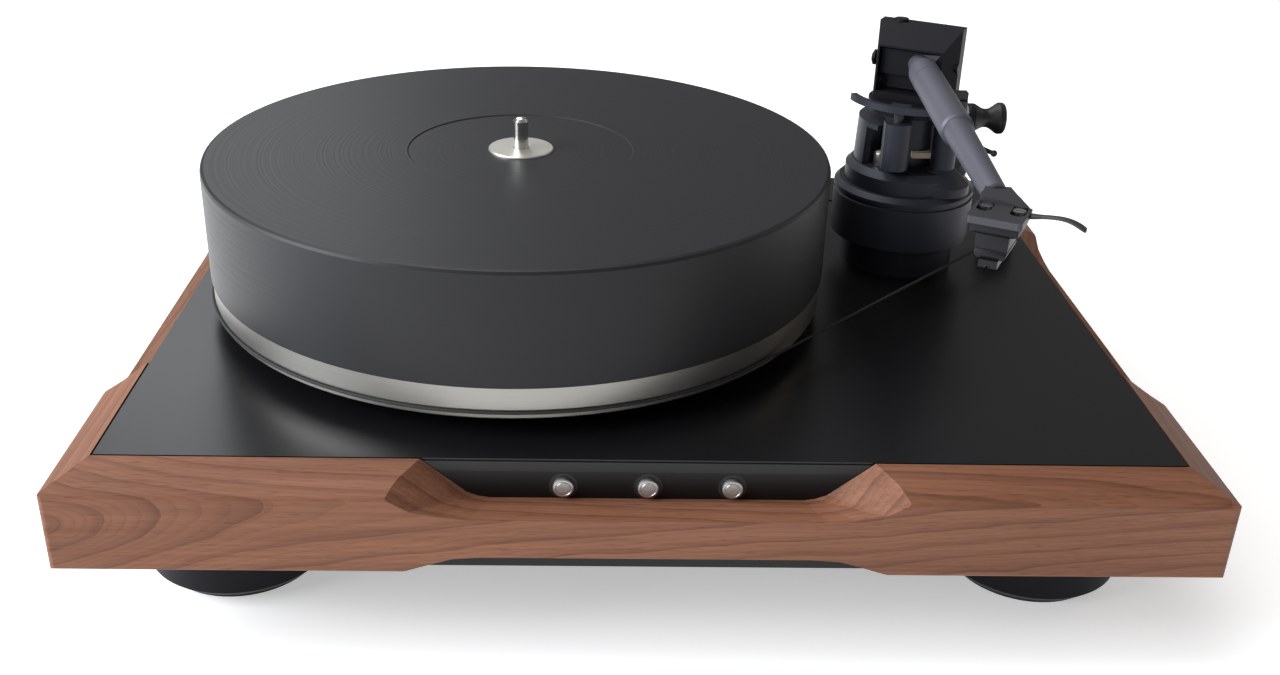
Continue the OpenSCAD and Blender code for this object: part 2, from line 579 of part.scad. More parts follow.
// Head shell: flat plate with two slots, blended to the tube
module slot(x) { translate([x, 0]) { square([3.2, 7], center = true); for (s = [-1, 1]) translate([0, s*3.5]) circle(1.6, $fn = 32); } }
module head_shell() {
  color("#5a5c64") union() {
    at_shell() difference() {
      translate([0, -5, -2.8]) linear_extrude(2.8) round_box(10.5, 10, 1.6);
      translate([0, -0.5, -4]) linear_extrude(6) for (s = [-1, 1]) slot(s*6.35);
      translate([0, -0.5, -pocket]) linear_extrude(3) for (s = [-1, 1]) translate([s*6.35, 0]) { square([5.8, 7], center = true);
        for (t = [-1, 1]) translate([0, t*3.5]) circle(2.9, $fn = 32); }
    }
    at_arm() fwd(arm_l - 14) cylinder(r = 4.9, h = 3);
    intersection() {
      at_arm() rotate([90, 0, 90]) translate([0, 0, -20]) linear_extrude(40)
        polygon([[-arm_l + 1, -2.8], [-arm_l + 1, 0], [-arm_l + 6, 2.2], [-arm_l + 12, 4.4], [-arm_l + 12, -4.4], [-arm_l + 6, -3.6]]);
      at_arm() translate([0, 0, -10]) linear_extrude(20)
        polygon([[-4.9, -arm_l + 11.9], [4.9, -arm_l + 11.9], [6.6, -arm_l + 8], [9.6, -arm_l + 2.6], [11.2, -arm_l - 0.4],
                 [-7.6, -arm_l + 7.2], [-6.2, -arm_l + 9.4]]);
    }
  }
}
module finger_lift() {
  color("#5a5c64") at_shell() translate([10.5, 0, -1.4]) rotate([90, 0, 0]) translate([0, 0, -1.5]) linear_extrude(3)
    polygon(concat([for (i = [0:10]) [i*2.05, 1.6*sin(i*14) - 0.035*i*i + 0.7]],
                   [for (i = [10:-1:0]) [i*2.05, 1.6*sin(i*14) - 0.035*i*i - 0.7]]));
}
module cartridge() {
  color("#1a1b20") at_shell() {
    difference() {
      box(-9.2, 9.2, -12, 5, -7, -2.8);
      for (s = [-1, 1]) translate([s*6.35, -0.5, -8]) cylinder(r = 1.3, h = 6, $fn = 32);
    }
    box(-6.2, 6.2, -13, 5.5, -14.2, -7 + eps);
    box(-5.6, 5.6, -13.4, 4, -16.4, -14.2 + eps);
    for (i = [0, 1], j = [0, 1]) translate([-3 + i*6, 5.5, -9 - j*3]) rotate([-90, 0, 0]) cylinder(r = 0.6, h = 4, $fn = 24);
  }
}
module stylus() {
  color("#24252a") at_shell() {
    difference() {
      box(-3.6, 3.6, -14.6, -2, -19.4, -16.4);
      translate([0, -16, -20.5]) rotate([0, 0, 0]) cube([2, 8, 4], center = true);
    }
    translate([0, -8, -19]) rotate([100, 0, 0]) cylinder(r = 0.35, h = 4.5, $fn = 24);
    translate([0, -12, -20.7]) cylinder(r1 = 0.1, r2 = 0.35, h = 1.2, $fn = 24);
  }
}
module cartridge_screws() {
  color("#d5d6d9") at_shell() for (s = [-1, 1]) translate([s*6.35, -0.5, -5.8 - pocket]) {
    translate([0, 0, 0.6]) cylinder(r = 1.25, h = 5.7, $fn = 32);
    difference() {
      translate([0, 0, 5.8]) cylinder(r = 2.5, h = 1.8, $fn = 48);
      translate([0, 0, 7.4]) cube([6, 0.7, 1], center = true);
    }
  }
}
module counterweight() {
  color("#26272b") at_arm() difference() {
    translate([0, 0, -weight_drop]) fwd(-51) cylinder(r = weight_r, h = 24);
    fwd(-60) cylinder(r = 4.5 + run_fit, h = 50);
    translate([0, 39, -weight_drop]) rotate([0, 0, 0]) cylinder(r = 2, h = 30, $fn = 32);
  }
}
module weight_screw() { color("#8d8f93") at_arm() translate([0, 39, 4.7]) cylinder(r = 2, h = 4, $fn = 32); }

front_board();
rear_board();
left_board();
right_board();
chassis_frame();
top_plate();
base_plate();
corner_brackets();
board_screws();
deck_screws();
foot_front_left();
foot_front_right();
foot_rear_left();
foot_rear_right();
foot_pads();
foot_bolts();
button_left();
button_middle();
button_right();
button_sleeves();
switch_board();
drive_board();
rear_sockets();
power_inlet();
ground_post();
motor_body();
motor_pulley();
drive_belt();
bearing_housing();
bearing_bushes();
thrust_ball();
spindle();
steel_ring();
platter_body();
hub_disc();
arm_drum();
arm_collar();
arm_column();
arm_shroud();
arm_sleeve();
level_cap();
lead_strip();
lift_body();
lift_rail();
lift_lever();
rest_post();
rest_clip();
bias_knob();
yoke();
pivot_screws();
arm_tube_rear();
arm_tube_front();
head_shell();
finger_lift();
cartridge();
stylus();
cartridge_screws();
counterweight();
weight_screw();
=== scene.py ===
# %% [markdown]
# # A belt-drive record player
# The measured model is loaded first and never moved. Every finish and every extra
# piece below is made around it, in metres, with the table top at z = 0.

# %% Load the measured model
import bpy
import json
import math
from mathutils import Matrix, Vector


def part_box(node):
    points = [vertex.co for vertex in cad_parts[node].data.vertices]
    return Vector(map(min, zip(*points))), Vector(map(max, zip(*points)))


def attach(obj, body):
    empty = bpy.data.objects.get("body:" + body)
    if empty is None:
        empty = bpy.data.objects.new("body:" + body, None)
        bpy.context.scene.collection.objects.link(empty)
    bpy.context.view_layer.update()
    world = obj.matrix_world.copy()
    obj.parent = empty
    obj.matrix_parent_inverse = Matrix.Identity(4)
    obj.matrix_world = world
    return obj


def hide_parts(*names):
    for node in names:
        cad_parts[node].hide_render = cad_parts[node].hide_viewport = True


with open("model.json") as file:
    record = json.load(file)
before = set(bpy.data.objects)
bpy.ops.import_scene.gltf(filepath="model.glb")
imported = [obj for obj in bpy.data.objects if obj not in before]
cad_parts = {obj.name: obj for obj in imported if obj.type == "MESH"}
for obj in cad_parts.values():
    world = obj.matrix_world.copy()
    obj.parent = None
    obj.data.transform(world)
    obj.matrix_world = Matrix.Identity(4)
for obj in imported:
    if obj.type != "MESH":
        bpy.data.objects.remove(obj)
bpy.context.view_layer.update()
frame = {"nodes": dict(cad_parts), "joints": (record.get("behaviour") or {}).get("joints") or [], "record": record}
nodes = frame["nodes"]
joints = {j["name"]: j for j in frame["joints"]}
bpy.ops.object.select_all(action="DESELECT")

# %% [markdown]
# ## Colours
# The main colours are kept in one table; the other finishes give their colours where they are made.
# They are linear values, which is what the shader sockets expect.

# %% Colour table
PLATTER_GREY = (0.018, 0.018, 0.020, 1)
ANODISED = (0.105, 0.105, 0.132, 1)
BASE_BLACK = (0.034, 0.036, 0.048, 1)
DULL_SILVER = (0.33, 0.32, 0.30, 1)
WALNUT_LIGHT = (0.275, 0.122, 0.070, 1)
WALNUT_MID = (0.178, 0.073, 0.041, 1)
WALNUT_DARK = (0.072, 0.029, 0.017, 1)

# %% [markdown]
# ## Small helpers for shader nodes
# A node tree is easier to read when adding a node and wiring it takes one line.
# The helpers below do only that.

# %% Node helpers
def add_node(tree, kind, **settings):
    node = tree.nodes.new(kind)
    for key, value in settings.items():
        if key.startswith("in_"):
            node.inputs[key[3:].replace("_", " ")].default_value = value
        else:
            setattr(node, key, value)
    return node


def math_node(tree, operation, a, b=None):
    node = tree.nodes.new("ShaderNodeMath")
    node.operation = operation
    for socket, value in zip(node.inputs, (a, b)):
        if value is None:
            continue
        if isinstance(value, (int, float)):
            socket.default_value = value
        else:
            tree.links.new(value, socket)
    return node.outputs[0]


def new_group(name, inputs, outputs):
    group = bpy.data.node_groups.new(name, "ShaderNodeTree")
    for label, kind, value in inputs:
        socket = group.interface.new_socket(name=label, in_out="INPUT", socket_type="NodeSocket" + kind)
        if value is not None:
            socket.default_value = value
    for label, kind in outputs:
        group.interface.new_socket(name=label, in_out="OUTPUT", socket_type="NodeSocket" + kind)
    return group, group.nodes.new("NodeGroupInput"), group.nodes.new("NodeGroupOutput")


def place_group(tree, group, links=None, **values):
    node = tree.nodes.new("ShaderNodeGroup")
    node.node_tree = group
    for label, value in values.items():
        node.inputs[label.replace("_", " ")].default_value = value
    for label, socket in (links or {}).items():
        tree.links.new(socket, node.inputs[label])
    return node


# %% [markdown]
# ## Walnut figure
# A board is cut from a log, so its lines are the log's year rings. Where the log's axis
# comes up to the surface the lines close into nested arches, and further along they run
# straight. Instead of painting lines, the group measures the distance to such a curved
# axis and bands it, so arches, straight lines and end grain come out by themselves.
# Its input runs along the board in X, into the wood in Y and up in Z.

# %% Walnut group
def build_walnut_group():
    g, gi, go = new_group(
        "Walnut figure",
        [("Vector", "Vector", None), ("Start", "Float", 0.0), ("Spread", "Float", 0.07), ("Depth", "Float", 0.03),
         ("Center", "Float", 0.068), ("Rise", "Float", 0.1), ("Ring", "Float", 0.006)],
        [("Color", "Color"), ("Roughness", "Float"), ("Height", "Float")])
    link = g.links.new

    def grain_noise(scale, detail, vector=gi.outputs["Vector"]):
        stretch = add_node(g, "ShaderNodeMapping")
        stretch.inputs["Scale"].default_value = scale
        link(vector, stretch.inputs["Vector"])
        noise = add_node(g, "ShaderNodeTexNoise", in_Scale=1.0, in_Detail=detail, in_Roughness=0.6)
        link(stretch.outputs[0], noise.inputs["Vector"])
        return noise.outputs["Fac"]

    part = add_node(g, "ShaderNodeSeparateXYZ")
    link(gi.outputs["Vector"], part.inputs[0])
    along = math_node(g, "SUBTRACT", part.outputs["X"], gi.outputs["Start"])
    wander = math_node(g, "MULTIPLY", math_node(g, "SUBTRACT", grain_noise((7, 26, 30), 3.0), 0.5), 0.016)
    sink = math_node(g, "TANH", math_node(g, "DIVIDE", along, gi.outputs["Spread"]))
    y = math_node(g, "ADD", part.outputs["Y"], math_node(g, "MULTIPLY", sink, gi.outputs["Depth"]))
    z = math_node(g, "SUBTRACT", math_node(g, "SUBTRACT", part.outputs["Z"], gi.outputs["Center"]),
                  math_node(g, "MULTIPLY", along, gi.outputs["Rise"]))
    z = math_node(g, "ADD", z, wander)
    squares = math_node(g, "ADD", math_node(g, "MULTIPLY", y, y), math_node(g, "MULTIPLY", z, z))
    dist = math_node(g, "SQRT", squares)
    turns = math_node(g, "DIVIDE", dist, gi.outputs["Ring"])
    ring = math_node(g, "POWER", math_node(g, "FRACT", turns), 5.0)
    inner = math_node(g, "POWER", math_node(g, "FRACT", math_node(g, "MULTIPLY", turns, 3.7)), 3.0)
    fibre = grain_noise((11, 620, 620), 4.0)
    streak = grain_noise((3.0, 170, 170), 3.0)
    broad = grain_noise((3.5, 24, 24), 2.0)
    pore = add_node(g, "ShaderNodeMapRange", in_From_Min=0.60, in_From_Max=0.72)
    link(grain_noise((110, 1700, 1700), 1.0), pore.inputs["Value"])
    tone = math_node(g, "ADD", math_node(g, "MULTIPLY", ring, 0.26), math_node(g, "MULTIPLY", inner, 0.10))
    tone = math_node(g, "ADD", tone, math_node(g, "MULTIPLY", fibre, 0.36))
    tone = math_node(g, "ADD", tone, math_node(g, "MULTIPLY", streak, 0.34))
    tone = math_node(g, "ADD", tone, math_node(g, "MULTIPLY", math_node(g, "SUBTRACT", broad, 0.5), 0.45))
    ramp = add_node(g, "ShaderNodeValToRGB")
    link(tone, ramp.inputs[0])
    ramp.color_ramp.elements[0].position = 0.16
    ramp.color_ramp.elements[0].color = WALNUT_LIGHT
    ramp.color_ramp.elements[1].position = 0.90
    ramp.color_ramp.elements[1].color = WALNUT_DARK
    mid = ramp.color_ramp.elements.new(0.46)
    mid.color = WALNUT_MID
    dark = add_node(g, "ShaderNodeMix", data_type="RGBA", blend_type="MULTIPLY")
    link(math_node(g, "MULTIPLY", pore.outputs[0], 0.5), dark.inputs[0])
    link(ramp.outputs[0], dark.inputs["A"])
    dark.inputs["B"].default_value = (0.42, 0.34, 0.30, 1)
    link(dark.outputs["Result"], go.inputs["Color"])
    link(math_node(g, "ADD", math_node(g, "MULTIPLY", fibre, 0.20), 0.36), go.inputs["Roughness"])
    link(math_node(g, "SUBTRACT", math_node(g, "MULTIPLY", fibre, 0.4), pore.outputs[0]), go.inputs["Height"])
    return g


WALNUT_GROUP = build_walnut_group()

# %% [markdown]
# ## Fine surface variation
# Paint, anodising and moulded plastic are never perfectly even: a fine orange-peel
# bump breaks up the highlight, and broad patches differ a little in gloss. One group
# gives both, and each finish asks for its own grain size.

# %% Fine grain group
def build_grain_group():
    g, gi, go = new_group(
        "Fine grain",
        [("Vector", "Vector", None), ("Grain", "Float", 900.0), ("Gloss", "Float", 0.35), ("Spread", "Float", 0.08)],
        [("Roughness", "Float"), ("Height", "Float"), ("Patch", "Float")])
    link = g.links.new
    fine = add_node(g, "ShaderNodeTexNoise", in_Detail=2.0)
    link(gi.outputs["Vector"], fine.inputs["Vector"])
    link(gi.outputs["Grain"], fine.inputs["Scale"])
    patch = add_node(g, "ShaderNodeTexNoise", in_Scale=9.0, in_Detail=4.0)
    link(gi.outputs["Vector"], patch.inputs["Vector"])
    swing = math_node(g, "MULTIPLY", math_node(g, "SUBTRACT", patch.outputs["Fac"], 0.5), gi.outputs["Spread"])
    small = math_node(g, "MULTIPLY", math_node(g, "SUBTRACT", fine.outputs["Fac"], 0.5), gi.outputs["Spread"])
    link(math_node(g, "ADD", math_node(g, "ADD", gi.outputs["Gloss"], swing), small), go.inputs["Roughness"])
    link(fine.outputs["Fac"], go.inputs["Height"])
    link(patch.outputs["Fac"], go.inputs["Patch"])
    return g


GRAIN_GROUP = build_grain_group()

# %% [markdown]
# ## Turning marks
# A ring or a button made on a lathe keeps fine circles round its axis. The group
# bands the distance from the axis, plus the height along it, so that both the flat
# face and the rim show their own lines.

# %% Turned group
def build_turned_group():
    g, gi, go = new_group(
        "Turning marks",
        [("Vector", "Vector", None), ("Pitch", "Float", 0.0004), ("Gloss", "Float", 0.25)],
        [("Roughness", "Float"), ("Height", "Float"), ("Tint", "Float")])
    link = g.links.new
    part = add_node(g, "ShaderNodeSeparateXYZ")
    link(gi.outputs["Vector"], part.inputs[0])
    xx = math_node(g, "MULTIPLY", part.outputs["X"], part.outputs["X"])
    yy = math_node(g, "MULTIPLY", part.outputs["Y"], part.outputs["Y"])
    radius = math_node(g, "SQRT", math_node(g, "ADD", xx, yy))
    along = math_node(g, "DIVIDE", math_node(g, "ADD", radius, part.outputs["Z"]), gi.outputs["Pitch"])
    lines = add_node(g, "ShaderNodeTexNoise", in_Detail=3.0, in_Scale=1.0)
    lines.noise_dimensions = "1D"
    link(along, lines.inputs["W"])
    link(lines.outputs["Fac"], go.inputs["Height"])
    link(lines.outputs["Fac"], go.inputs["Tint"])
    spread = math_node(g, "MULTIPLY", math_node(g, "SUBTRACT", lines.outputs["Fac"], 0.5), 0.25)
    link(math_node(g, "ADD", gi.outputs["Gloss"], spread), go.inputs["Roughness"])
    return g


TURNED_GROUP = build_turned_group()

# %% [markdown]
# ## Finishes
# Each finish is one material with its own Principled shader. Even numbers, such as
# metalness, sit on the shader itself. Only what varies over the surface comes from
# the groups.

# %% Finish makers
def start_material(name):
    mat = bpy.data.materials.new(name)
    mat.use_nodes = True
    tree = mat.node_tree
    shader = tree.nodes["Principled BSDF"]
    coords = tree.nodes.new("ShaderNodeTexCoord")
    return mat, tree, shader, coords.outputs["Object"]


def wire_bump(tree, shader, height, strength, distance):
    bump = add_node(tree, "ShaderNodeBump", in_Strength=strength, in_Distance=distance)
    tree.links.new(height, bump.inputs["Height"])
    tree.links.new(bump.outputs[0], shader.inputs["Normal"])


def walnut(name, turn, outside, start, spread, depth, center, rise, ring):
    """A board whose outer face lies `outside` metres from the middle, turned to face -Y."""
    mat, tree, shader, coord = start_material(name)
    lay = add_node(tree, "ShaderNodeMapping")
    lay.inputs["Rotation"].default_value = (0, 0, turn)
    lay.inputs["Location"].default_value = (0, outside, 0)
    tree.links.new(coord, lay.inputs["Vector"])
    wood = place_group(tree, WALNUT_GROUP, {"Vector": lay.outputs[0]}, Start=start, Spread=spread, Depth=depth,
                       Center=center, Rise=rise, Ring=ring)
    tree.links.new(wood.outputs["Color"], shader.inputs["Base Color"])
    tree.links.new(wood.outputs["Roughness"], shader.inputs["Roughness"])
    wire_bump(tree, shader, wood.outputs["Height"], 0.3, 0.0002)
    shader.inputs["Specular IOR Level"].default_value = 0.2
    return mat


def plain_finish(name, colour, gloss, metal=0.0, grain=900.0, spread=0.08, bump=0.15, tint=0.25, coat=0.0,
                 shine=0.5):
    mat, tree, shader, coord = start_material(name)
    fine = place_group(tree, GRAIN_GROUP, {"Vector": coord}, Grain=grain, Gloss=gloss, Spread=spread)
    mix = add_node(tree, "ShaderNodeMix", data_type="RGBA")
    mix.inputs["A"].default_value = [c * (1 - tint) for c in colour[:3]] + [1]
    mix.inputs["B"].default_value = [min(1, c * (1 + tint)) for c in colour[:3]] + [1]
    tree.links.new(fine.outputs["Patch"], mix.inputs[0])
    tree.links.new(mix.outputs["Result"], shader.inputs["Base Color"])
    tree.links.new(fine.outputs["Roughness"], shader.inputs["Roughness"])
    wire_bump(tree, shader, fine.outputs["Height"], bump, 0.0001)
    shader.inputs["Metallic"].default_value = metal
    shader.inputs["Coat Weight"].default_value = coat
    shader.inputs["Specular IOR Level"].default_value = shine
    return mat


def turned_finish(name, colour, centre, gloss=0.25, metal=1.0, pitch=0.0004, bump=0.2, turn=(0, 0, 0), tint=0.2,
                  shine=0.5):
    mat, tree, shader, coord = start_material(name)
    lay = add_node(tree, "ShaderNodeMapping", vector_type="TEXTURE")
    lay.inputs["Location"].default_value = centre
    lay.inputs["Rotation"].default_value = turn
    tree.links.new(coord, lay.inputs["Vector"])
    marks = place_group(tree, TURNED_GROUP, {"Vector": lay.outputs[0]}, Pitch=pitch, Gloss=gloss)
    mix = add_node(tree, "ShaderNodeMix", data_type="RGBA")
    mix.inputs["A"].default_value = [c * (1 - tint) for c in colour[:3]] + [1]
    mix.inputs["B"].default_value = [min(1, c * (1 + tint)) for c in colour[:3]] + [1]
    tree.links.new(marks.outputs["Tint"], mix.inputs[0])
    tree.links.new(mix.outputs["Result"], shader.inputs["Base Color"])
    tree.links.new(marks.outputs["Roughness"], shader.inputs["Roughness"])
    wire_bump(tree, shader, marks.outputs["Height"], bump, 0.00008)
    shader.inputs["Metallic"].default_value = metal
    shader.inputs["Specular IOR Level"].default_value = shine
    return mat


# %% [markdown]
# ## Where things stand
# Pieces that turn are marked round their own axis, so the centres are read from the
# joints and from the boxes of the measured parts.

# %% Centres
def middle(name):
    low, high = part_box(name)
    return (low + high) / 2


platter_axis = Vector(joints["platter_spin"]["pos_m"])
pivot = Vector(joints["arm_swing"]["pos_m"])
platter_centre = (platter_axis.x, platter_axis.y, 0)
print("platter axis", platter_axis, "arm pivot", pivot)

# %% [markdown]
# ## Walnut frame
# The four boards come from different planks, so each has its own log axis. The side
# boards run front to back, and their pattern is turned a quarter to follow them.

# %% Walnut boards
BOARDS = {
    "front_board": (0, 0.192, -0.25, 0.070, 0.030, 0.068, 0.10, 0.0066),
    "rear_board": (math.pi, 0.192, 0.10, 0.120, 0.040, 0.050, 0.05, 0.0058),
    "left_board": (math.pi / 2, 0.243, -0.30, 0.150, 0.045, 0.085, 0.06, 0.0052),
    "right_board": (-math.pi / 2, 0.243, 0.30, 0.180, 0.040, 0.080, -0.05, 0.0056),
}
finish = {name: walnut("Walnut " + name, *values) for name, values in BOARDS.items()}

# %% [markdown]
# ## Metals, paints and plastics
# The deck is satin black paint, the platter a finer matt black, and the arm is dark
# anodised aluminium, which is a metal under a tinted skin and so keeps some metalness.

# %% Other finishes
deck_black = plain_finish("Deck black", (0.006, 0.006, 0.007, 1), 0.30, grain=1400, spread=0.06, bump=0.08,
                          shine=0.38)
frame_black = plain_finish("Frame black", (0.005, 0.005, 0.006, 1), 0.36, grain=1100, bump=0.12, shine=0.3)
foot_black = plain_finish("Foot black", (0.005, 0.005, 0.008, 1), 0.5, grain=700, bump=0.2, shine=0.15)
rubber_black = plain_finish("Rubber", (0.014, 0.014, 0.014, 1), 0.75, grain=500, bump=0.3)
moulded_black = plain_finish("Moulded black", (0.013, 0.013, 0.014, 1), 0.45, grain=1500, bump=0.25)
base_metal = plain_finish("Arm base black", BASE_BLACK, 0.46, metal=0.4, grain=1800, bump=0.12, shine=0.35)
arm_metal = plain_finish("Arm anodised", ANODISED, 0.52, metal=0.5, grain=2200, bump=0.12, shine=0.35)
yoke_metal = plain_finish("Yoke anodised", (0.009, 0.009, 0.012, 1), 0.48, metal=0.2, grain=2200, bump=0.12,
                          shine=0.16)
shell_metal = plain_finish("Arm end anodised", (0.060, 0.060, 0.068, 1), 0.44, metal=0.5, grain=2200, bump=0.12,
                           shine=0.3)
# A flat near-black that paints the shade deep in the screw slots of the head shell.
slot_shade_paint = plain_finish("Painted slot shade", (0.003, 0.003, 0.003, 1), 0.6, grain=900, shine=0.15)
plain_metal = plain_finish("Plain metal", (0.45, 0.46, 0.47, 1), 0.38, metal=1.0, grain=600)
bright_steel = plain_finish("Bright steel", (0.72, 0.72, 0.71, 1), 0.2, metal=1.0, grain=900, spread=0.05)
brass = plain_finish("Brass", (0.62, 0.42, 0.17, 1), 0.28, metal=1.0, grain=800)
board_green = plain_finish("Circuit board", (0.012, 0.06, 0.025, 1), 0.4, grain=300)
beige = plain_finish("Beige strip", (0.50, 0.40, 0.30, 1), 0.5, grain=700)
cartridge_black = plain_finish("Cartridge black", (0.008, 0.008, 0.011, 1), 0.42, grain=1500, shine=0.22)
platter_black = turned_finish("Platter black", PLATTER_GREY, platter_centre, gloss=0.42, metal=0.0, pitch=0.0009,
                              bump=0.015, tint=0.03, shine=0.24)
ring_silver = turned_finish("Turned silver ring", DULL_SILVER, platter_centre, gloss=0.36, pitch=0.0003)
hub_silver = turned_finish("Turned hub", (0.74, 0.72, 0.66, 1), platter_centre, gloss=0.42, pitch=0.0003)
spindle_steel = turned_finish("Spindle steel", (0.70, 0.70, 0.68, 1), platter_centre, gloss=0.18, pitch=0.0002)

# %% [markdown]
# ## Dress the measured parts
# Every measured part keeps its shape and only takes a finish. The table reads like a
# parts list: finish on the left, parts on the right.

# %% Parts list
def dress(name, mat):
    mesh = nodes[name].data
    mesh.materials.clear()
    mesh.materials.append(mat)


DRESS = [
    (frame_black, ["chassis_frame", "base_plate"]),
    (deck_black, ["top_plate"]),
    (plain_metal, ["corner_brackets", "motor_body", "bearing_housing"]),
    (bright_steel, ["button_left", "button_middle", "button_right", "board_screws", "deck_screws", "foot_bolts",
                    "thrust_ball", "ground_post", "cartridge_screws", "weight_screw", "level_cap"]),
    (foot_black, ["foot_front_left", "foot_front_right", "foot_rear_left", "foot_rear_right"]),
    (rubber_black, ["foot_pads", "drive_belt"]),
    (moulded_black, ["button_sleeves", "power_inlet", "rest_clip", "bias_knob"]),
    (board_green, ["switch_board", "drive_board"]),
    (brass, ["rear_sockets", "bearing_bushes", "arm_sleeve"]),
    (base_metal, ["motor_pulley", "arm_drum", "arm_collar", "arm_column", "arm_shroud", "lift_body", "lift_rail",
                  "lift_lever", "rest_post", "counterweight"]),
    (yoke_metal, ["yoke", "pivot_screws"]),
    (arm_metal, ["arm_tube_rear", "arm_tube_front"]),
    (shell_metal, ["head_shell", "finger_lift"]),
    (beige, ["lead_strip"]),
    (cartridge_black, ["cartridge", "stylus"]),
    (platter_black, ["platter_body"]),
    (ring_silver, ["steel_ring"]),
    (hub_silver, ["hub_disc"]),
    (spindle_steel, ["spindle"]),
]
for mat, names in DRESS:
    for name in names:
        dress(name, mat)
for name in BOARDS:
    dress(name, finish[name])
print("dressed", len(nodes), "parts")

# %% [markdown]
# ## Helpers for new pieces
# Small round parts are made as on a lathe: a disc is extruded step by step and scaled to
# the next diameter. Each piece is shaped at the origin and then set in place once, so its
# object ends up unrotated at the origin of the model.

# %% Modelling helpers
def deselect():
    if bpy.context.object and bpy.context.object.mode != "OBJECT":
        bpy.ops.object.mode_set(mode="OBJECT")
    bpy.ops.object.select_all(action="DESELECT")


def extrude_through(steps, last):
    """Extrude the selected end through (x, y, z, width, height) stations."""
    for step in steps:
        move = [step[i] - last[i] for i in range(3)]
        bpy.ops.mesh.extrude_region_move(TRANSFORM_OT_translate={"value": move})
        grow = (step[3] / last[3], step[4] / last[4])
        size = (grow[0], grow[1], 1) if last[5] == "Z" else (1, grow[0], grow[1])
        bpy.ops.transform.resize(value=size, center_override=step[:3])
        last = list(step[:5]) + [last[5]]


def close_and_place(obj, name, place, body, mat, smooth=35):
    bpy.ops.mesh.select_all(action="SELECT")
    bpy.ops.mesh.normals_make_consistent(inside=False)
    bpy.ops.object.mode_set(mode="OBJECT")
    obj.name = name
    obj.matrix_world = place
    bpy.ops.object.transform_apply(location=True, rotation=True, scale=True)
    bpy.ops.object.shade_smooth_by_angle(angle=math.radians(smooth))
    obj.data.materials.append(mat)
    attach(obj, body)
    print("made", name, len(obj.data.polygons), "faces")
    return obj


def turned(name, profile, place, body, mat, sides=64):
    """A lathe part: profile is a list of (radius, height) in millimetres along local Z."""
    deselect()
    profile = [(r / 1000, h / 1000) for r, h in profile]
    radius, height = profile[0]
    bpy.ops.mesh.primitive_circle_add(vertices=sides, radius=radius, fill_type="NGON",
                                      location=(0, 0, height))
    obj = bpy.context.object
    bpy.ops.object.transform_apply(location=True)
    bpy.ops.object.mode_set(mode="EDIT")
    bpy.ops.mesh.select_all(action="SELECT")
    extrude_through([(0, 0, h, r, r) for r, h in profile[1:]], [0, 0, height, radius, radius, "Z"])
    return close_and_place(obj, name, place, body, mat)


def facing(where, axis):
    """A placement whose local Z points along axis."""
    return Matrix.Translation(where) @ Vector(axis).to_track_quat("Z", "Y").to_matrix().to_4x4()


# %% [markdown]
# ## The arm's own directions
# The arm is parked 3.78 degrees off straight ahead and points up a little on its rest, and
# the head shell is turned 24 degrees further. Pieces on the arm are drawn in those
# directions and then placed with one matrix.

# %% Arm placements
def turn(degrees, axis):
    return Matrix.Rotation(math.radians(degrees), 4, axis)


AT_ARM = Matrix.Translation(pivot) @ turn(-3.78, "Z") @ turn(-0.8, "X")
AT_SHELL = AT_ARM @ Matrix.Translation((0, -0.2202, 0)) @ turn(-24, "Z")
DOWN_ARM = AT_ARM @ turn(90, "X")
rear = nodes["arm_tube_rear"].data
rear.materials.append(yoke_metal)
to_arm = AT_ARM.inverted()
block_faces = [face for face in rear.polygons
               if (to_arm @ face.center).y > -0.0065 or abs((to_arm @ face.center).x) > 0.0079]
for face in block_faces:
    face.material_index = 1
print("pivot block faces", len(block_faces), "of", len(rear.polygons))

# %% [markdown]
# ## Push buttons
# Each button is a turned aluminium cap with a fine groove round its face. It slides in a
# sleeve, so the stem behind it is part of the piece and moves with it.

# %% Buttons
CAP = [(2.6, -12), (2.6, -4.6), (4.25, -4.6), (4.3, -4.5), (4.3, 1.6), (4.2, 1.95), (3.9, 2.15), (3.35, 2.18),
       (3.2, 2.02), (2.95, 2.02), (2.8, 2.18), (1.0, 2.2)]
for side in ("left", "middle", "right"):
    at = middle("button_" + side)
    face = Vector((at.x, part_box("chassis_frame")[0].y, at.z))
    cap_metal = turned_finish("Button face " + side, (0.50, 0.50, 0.50, 1), (at.x, 0, at.z), gloss=0.42,
                              pitch=0.0004, bump=0.1, turn=(math.pi / 2, 0, 0))
    cap = turned("cap_" + side, CAP, facing(face, (0, -1, 0)), "button_" + side,
                 cap_metal, 48)
    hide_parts("button_" + side)

# %% [markdown]
# ## Bias knob
# The knob has the waist of a cotton reel and two grooved rims for the fingers. It is
# turned in black plastic together with its thin shaft, from one lathe profile.

# %% Knob
SHAFT = [(2, 0), (2, 18)]
INNER_RIM = [(6.9, 18), (7.5, 18.5), (7.6, 19.0), (7.6, 19.5), (7.2, 19.8), (7.6, 20.1), (7.6, 20.7), (7.2, 21.0),
             (7.6, 21.3), (7.4, 22.2)]
WAIST = [(6.2, 24.2), (5.2, 26), (4.9, 27.5), (4.9, 28.5), (5.2, 30), (6.6, 32.2)]
OUTER_RIM = [(7.9, 34), (8.3, 34.8), (8.3, 35.3), (7.9, 35.6), (8.3, 35.9), (8.3, 36.5), (7.9, 36.8), (8.2, 37.1),
             (7.6, 37.8)]
KNOB = SHAFT + INNER_RIM + WAIST + OUTER_RIM + [(5.2, 37.8), (4.8, 37.4), (1.5, 37.4)]
shaft_start = Vector(joints["bias_turn"]["pos_m"]) + Vector((0.011, 0, 0))
knob = turned("knob", KNOB, facing(shaft_start, (1, 0, 0)), "bias_knob", moulded_black)
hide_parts("bias_knob")

# %% [markdown]
# ## Level
# The round bubble level is a metal cup with a domed, faintly green window.

